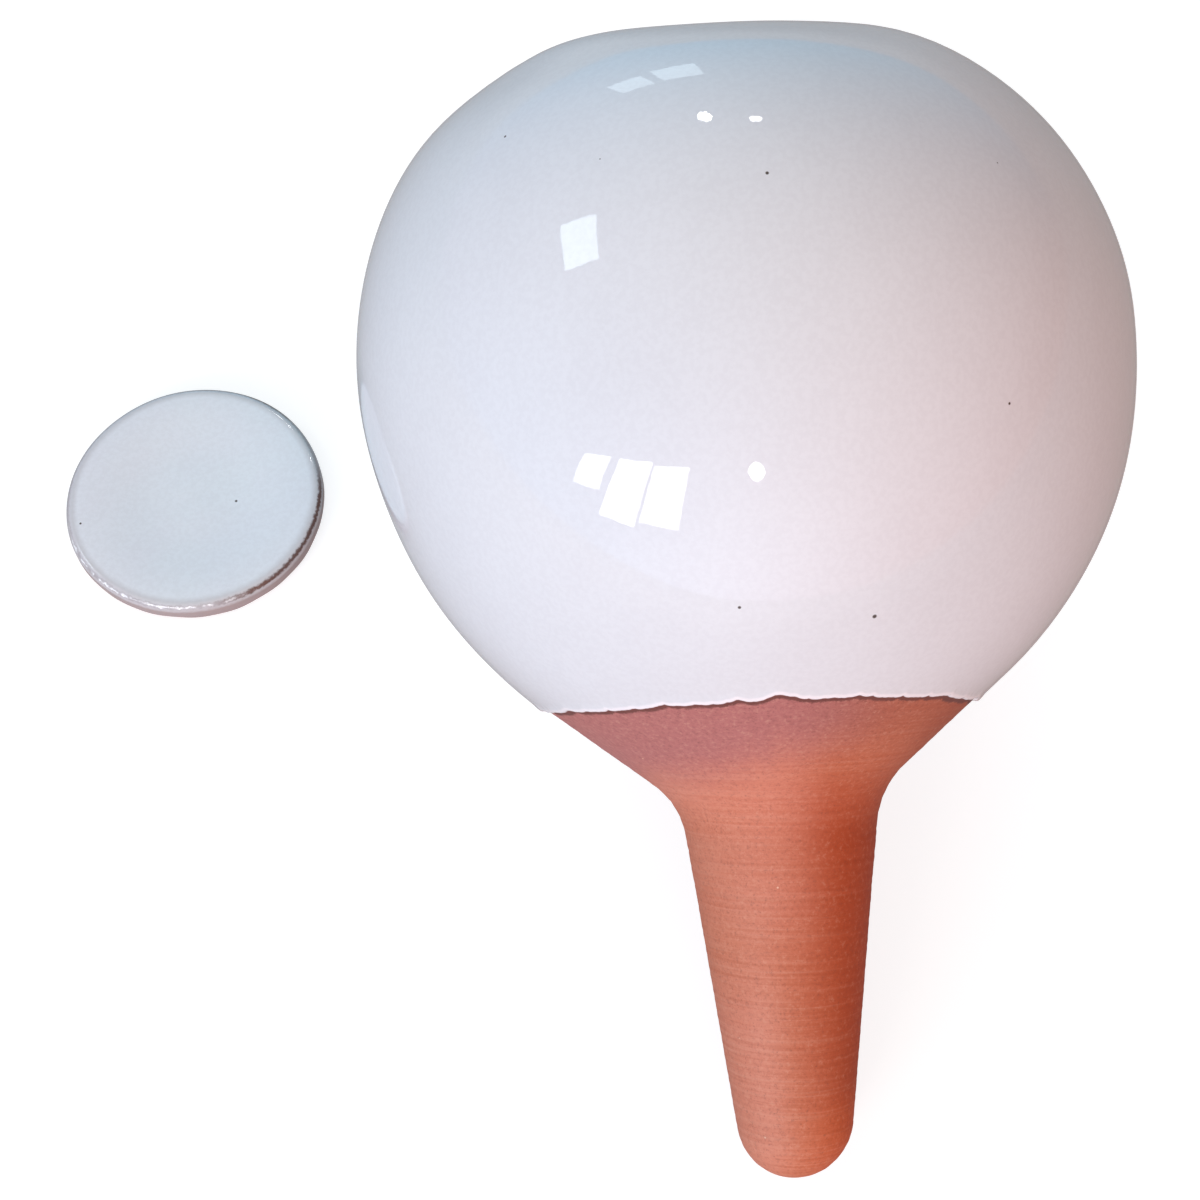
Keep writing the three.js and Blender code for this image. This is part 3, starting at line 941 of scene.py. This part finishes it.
def terracotta_material():
    material = bpy.data.materials.new("terracotta")
    shader = Shader(material)
    surface = shader.tree.nodes["Principled BSDF"]
    place = shader.place()
    lines = clay_lines(shader, place)
    blotches = shader.noise(place, *BLOTCHES)
    grain = shader.noise(place, *CLAY_GRAIN)
    across = shader.dot(place, (1, 0, 0))
    below = shader.attribute("below_glaze")

    pale = shader.math("MULTIPLY", blotches, PALE_BY_BLOTCHES)
    pale = shader.math("MULTIPLY_ADD", lines, PALE_BY_LINES, pale)
    pale = shader.math("MULTIPLY_ADD", grain, PALE_BY_GRAIN, pale)
    tone = shader.mix(shader.fade(pale, *PALE_FROM), CLAY_ORANGE, CLAY_PALE)

    # Painted shade: the clay deepens on one side, less so towards the tip
    wandering = shader.math("MULTIPLY_ADD", blotches, DEEP_SHADE_WANDER, across)
    shade_tone = shader.mix(shader.fade(below, *TIP_SHADE_BELOW), CLAY_SHADE_DEEP, CLAY_SHADE_TIP)
    tone = shader.tint(
        tone, shade_tone, shader.fade(wandering, *DEEP_SHADE_ACROSS), shader.fade(below, *DEEP_SHADE_BELOW))
    # Painted sheen: the clay is paler on the other side
    tone = shader.tint(tone, CLAY_PAINTED_SHEEN, painted_sheen(shader, across, below))

    # The mauve band below the glaze, partly the clay's own tone and partly painted shade under the ball
    slant = shader.math("MULTIPLY_ADD", across, BAND_SLANT, below)
    wandering = shader.math("MULTIPLY_ADD", blotches, BAND_WANDER, slant)
    band_and_shade_share = shader.math(
        "MULTIPLY", shader.fade(wandering, *BAND_BELOW), shader.fade(across, *BAND_ACROSS))
    band_and_shade_tone = shader.mix(shader.fade(across, *BROWN_ACROSS), CLAY_MAUVE_AND_SHADE, CLAY_BROWN_AND_SHADE)
    tone = shader.tint(tone, band_and_shade_tone, band_and_shade_share)
    # Painted shade: darker at the far side of the funnel
    tone = shader.tint(tone, CLAY_SHADED, shader.fade(across, *SHADED_ACROSS), SHADED_SHARE)

    mottle = shader.noise(place, *CLAY_MOTTLE)
    mottled = shader.math("MULTIPLY_ADD", band_and_shade_share, BAND_MOTTLE_SHARE, CLAY_MOTTLE_SHARE)
    tone = shader.tint(tone, CLAY_DARK, shader.fade(mottle, *MOTTLE_DARK), mottled)
    tone = shader.tint(tone, CLAY_FLECK, shader.fade(mottle, *MOTTLE_PALE), mottled)
    low = shader.fade(below, *LOW_LINE_BELOW)
    lined = shader.math("MULTIPLY_ADD", low, LOW_LINE_SHARE, LINE_SHARE)
    tone = shader.tint(tone, CLAY_DARK, shader.fade(lines, *LINE_DARK), lined)
    tone = shader.tint(tone, CLAY_FLECK, shader.fade(lines, *LINE_PALE), lined)

    # The dark edge along the glaze, partly the clay's own dark line and partly painted shadow under the
    # lip
    ragged = shader.math("MULTIPLY_ADD", grain, EDGE_RAGGEDNESS, below)
    tone = shader.tint(tone, CLAY_DARK, shader.fade(ragged, *EDGE_BELOW), EDGE_SHARE)
    near = shader.fade(below, *NEAR_PIT_BELOW)
    pitted = shader.math("MULTIPLY_ADD", near, NEAR_PIT_SHARE, PIT_SHARE)
    tone = shader.tint(tone, CLAY_DARK, shader.fade(grain, *PIT_GRAIN), pitted)
    tone = shader.tint(tone, CLAY_FLECK, shader.specks(place, *CLAY_SPECKS))

    shader.feed(surface.inputs["Base Color"], tone)
    shader.feed(surface.inputs["Roughness"], shader.math("MULTIPLY_ADD", grain, *CLAY_ROUGHNESS))
    surface.inputs["Specular IOR Level"].default_value = CLAY_SPECULAR
    rough = shader.bump(grain, *GRAIN_BUMP)
    shader.feed(surface.inputs["Normal"], shader.bump(lines, *LINE_BUMP, rough))
    return material


def floor_material():
    """A pale floor that is seen as white, with the shadows that fall on it."""
    material = bpy.data.materials.new("pale_floor")
    shader = Shader(material)
    tree = shader.tree
    tree.nodes.remove(tree.nodes["Principled BSDF"])
    path = shader.node("ShaderNodeLightPath", {})
    seen = shader.math("MAXIMUM", path.outputs["Is Camera Ray"], path.outputs["Is Transmission Ray"])
    position = shader.node("ShaderNodeNewGeometry", {}).outputs["Position"]
    forwards = shader.dot(position, (0, 1, 0))
    ahead = shader.math("MULTIPLY", shader.fade(forwards, *FLOOR_AHEAD), FLOOR_MIRRORED_AHEAD)
    behind = shader.math("MULTIPLY", shader.fade(forwards, *FLOOR_BEHIND), FLOOR_MIRRORED_BEHIND)
    away = shader.node("ShaderNodeVectorMath", {0: position}, operation="LENGTH").outputs["Value"]
    straight = shader.math("ABSOLUTE", shader.math("DIVIDE", forwards, away))
    straight = shader.math("POWER", straight, FLOOR_CLOSENESS)
    share = shader.math("MULTIPLY", shader.math("ADD", ahead, behind), straight)
    share = shader.math("MAXIMUM", share, FLOOR_MIRRORED)
    mirrored = shader.math("MULTIPLY", path.outputs["Is Glossy Ray"], share)
    seen = shader.math("MAXIMUM", seen, mirrored)
    matt = shader.node("ShaderNodeBsdfDiffuse", {"Color": FLOOR_MATT})
    glow = shader.node("ShaderNodeEmission", {"Color": FLOOR_LIFT, "Strength": seen})
    both = shader.node("ShaderNodeAddShader", {0: matt.outputs[0], 1: glow.outputs[0]})
    shader.feed(tree.nodes["Material Output"].inputs["Surface"], both.outputs[0])
    return material


# The vessel's place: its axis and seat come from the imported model's mount on the lid seat, which lies
# this far up from the axis

SEAT_MOUNT_UP = 0.02
mounts = {mount["name"]: mount for mount in frame["record"]["mounts"]}
axis = Vector(mounts["lid_seat"]["axis"]).normalized()
lean = math.asin(axis.z)
vessel_turn = Matrix.Rotation(lean - QUARTER, 4, "X")
seat_local = Vector((-SEAT_SLUMP, -SEAT_MOUNT_UP, CROWN_HEIGHT))
ball_centre = Vector(mounts["lid_seat"]["pos_m"]) - vessel_turn.to_3x3() @ seat_local
vessel_place = Matrix.Translation(ball_centre) @ vessel_turn
lid_low, lid_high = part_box("lid_disc")
lid_place = Matrix.Translation(((lid_low.x + lid_high.x) / 2, (lid_low.y + lid_high.y) / 2, lid_low.z))


def settle(piece, place, body, slot, material, *nodes):
    """Puts a piece where the nodes that it stands for are, and dresses it."""
    piece.data.transform(place)
    piece.data.materials.append(material)
    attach(piece, body)
    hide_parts(*nodes)


terracotta = terracotta_material()
settle(make_globe_clay(), vessel_place, "vessel", "terracotta", terracotta, "globe_shell")
settle(make_spike_clay(), vessel_place, "vessel", "terracotta", terracotta, "spike")
settle(make_globe_glaze(), vessel_place, "vessel", "white_glaze", globe_glaze_material(), "globe_glaze")
settle(make_lid_clay(), lid_place, "lid", "terracotta", terracotta, "lid_disc")
settle(make_lid_glaze(), lid_place, "lid", "white_glaze", lid_glaze_material(), "lid_glaze")


# Stage: floor, soft room light, window panes and small lamps, and the camera

FLOOR_SIZE = 12.0

# Soft light of the room: a low level all round, and broad glows, each with the direction that it comes
# from, how closely it keeps to that direction, and its colour
ROOM_LEVEL = (0.07, 0.03, 0.01)
ROOM_GLOWS = (
    ((-0.12, -1, 0.12), 4, (1.72, 1.63, 1.68)),
    ((-0.7, -0.7, 0.1), 2, (0.06, 0.48, 0.95)),
    ((0.7, -0.7, 0.3), 2, (0.60, 0.11, 0.03)),
    ((0.08, 0.95, 0.27), 3, (0.18, 0.76, 1.18)),
    ((-0.7, 0.7, 0.3), 3, (0.49, 0.30, 0.32)),
    ((0, 0, 1), 3, (0.25, 0.31, 0.15)),
)


def make_floor():
    half = FLOOR_SIZE / 2
    mesh = bpy.data.meshes.new("floor")
    corners = [(-half, -half, 0), (half, -half, 0), (half, half, 0), (-half, half, 0)]
    mesh.from_pydata(corners, [], [(0, 1, 2, 3)])
    floor = bpy.data.objects.new("floor", mesh)
    floor.data.materials.append(floor_material())
    bpy.context.scene.collection.objects.link(floor)


def make_room():
    """Soft light that changes slowly with direction, as in a room with windows and pale walls."""
    world = bpy.data.worlds.new("room")
    bpy.context.scene.world = world
    shader = Shader(world)
    facing = shader.node("ShaderNodeTexCoord", {}).outputs["Generated"]
    light = ROOM_LEVEL
    for direction, closeness, tint in ROOM_GLOWS:
        near = shader.math("MAXIMUM", shader.dot(facing, Vector(direction).normalized()), 0)
        share = shader.math("POWER", near, closeness)
        inputs = {0: tint, "Scale": share}
        glow = shader.node("ShaderNodeVectorMath", inputs, operation="SCALE").outputs[0]
        light = shader.vector("ADD", glow, light)
    path = shader.node("ShaderNodeLightPath", {})
    seen = shader.math("MAXIMUM", path.outputs["Is Camera Ray"], path.outputs["Is Transmission Ray"])
    shader.feed(shader.tree.nodes["Background"].inputs["Color"], shader.mix(seen, light, WHITE))


def make_lamp(name, offset, size, radiance, towards=None, tint=(1, 1, 1), roll=0, shape="RECTANGLE"):
    """A flat lamp of a given radiance, placed from the ball's centre. It faces the way that towards
    points, or else the ball, and is rolled by so many degrees."""
    lamp = bpy.data.lights.new(name, "AREA")
    lamp.shape = shape
    lamp.size, lamp.size_y = size
    area = size[0] * size[1] * (math.pi / 4 if shape == "ELLIPSE" else 1)
    lamp.energy = radiance * math.pi * area
    lamp.color = tint
    piece = bpy.data.objects.new(name, lamp)
    piece.location = ball_centre + Vector(offset)
    facing = Vector(towards) if towards else -Vector(offset)
    turn = facing.to_track_quat("-Z", "Y") @ Quaternion((0, 0, 1), math.radians(roll))
    piece.rotation_euler = turn.to_euler()
    piece.visible_camera = False
    bpy.context.scene.collection.objects.link(piece)


# Ways that the lamps face, the tint of daylight, and radiances
INTO_ROOM = (0, 1, 0)
OUT_OF_ROOM = (0, -1, 0)
SKY = (0.75, 0.92, 1.0)
PANE = 10
FAR_PANE = 8
SIDE_PANE = 6
BACK_PANE = 2.4
CEILING = 25
CEILING_FRONT = 20


def make_lamps():
    """Lamps by their place from the ball's centre, their width and height, and their radiance."""
    make_lamp("window_right_pane", (-0.6725, -1.0, 0.49), (0.25, 0.38), PANE, INTO_ROOM, roll=4)
    make_lamp("window_left_pane", (-0.9785, -1.0, 0.465), (0.309, 0.45), PANE, INTO_ROOM, roll=3)
    make_lamp("window_far_pane", (-1.405, -1.0, 0.521), (0.35, 0.29), FAR_PANE, INTO_ROOM, roll=5)
    make_lamp("side_window", (-0.98, 0.305, 0.985), (0.31, 0.235), SIDE_PANE, tint=SKY, roll=7)
    make_lamp("back_window_left", (-0.241, 1.0, 0.433), (0.13, 0.14), BACK_PANE, OUT_OF_ROOM, SKY)
    make_lamp("back_window_right", (-0.067, 1.0, 0.423), (0.145, 0.16), BACK_PANE, OUT_OF_ROOM, SKY)
    make_lamp("ceiling_lamp_left", (-0.084, 0.696, 0.774), (0.055, 0.085), CEILING, shape="ELLIPSE")
    make_lamp("ceiling_lamp_right", (0.103, 0.654, 0.807), (0.044, 0.04), CEILING, shape="ELLIPSE")
    make_lamp(
        "ceiling_lamp_front", (-0.126, -0.867, 0.597), (0.085, 0.085), CEILING_FRONT, shape="ELLIPSE")


# The camera stands near the object and looks steeply down on it
CAMERA_FROM_BALL = (-0.043277, -0.144654)
CAMERA_HEIGHT = 0.282985
CAMERA_AZIMUTH = math.radians(8.63)
CAMERA_ELEVATION = math.radians(64.17)
CAMERA_ROLL = math.radians(2.21)
LENS = 50
SENSOR = 36
CLIP_START = 0.01


def make_camera():
    data = bpy.data.cameras.new("camera")
    data.lens = LENS
    data.sensor_width = SENSOR
    data.clip_start = CLIP_START
    level = math.cos(CAMERA_ELEVATION)
    forward = Vector((
        math.sin(CAMERA_AZIMUTH) * level,
        math.cos(CAMERA_AZIMUTH) * level,
        -math.sin(CAMERA_ELEVATION),
    ))
    camera = bpy.data.objects.new("camera", data)
    across, along = CAMERA_FROM_BALL
    camera.location = (ball_centre.x + across, ball_centre.y + along, CAMERA_HEIGHT)
    roll = Quaternion((0, 0, 1), CAMERA_ROLL)
    camera.rotation_euler = (forward.to_track_quat("-Z", "Y") @ roll).to_euler()
    bpy.context.scene.collection.objects.link(camera)
    bpy.context.scene.camera = camera


make_floor()
make_room()
make_lamps()
make_camera()
bpy.context.scene.view_settings.view_transform = "Standard"
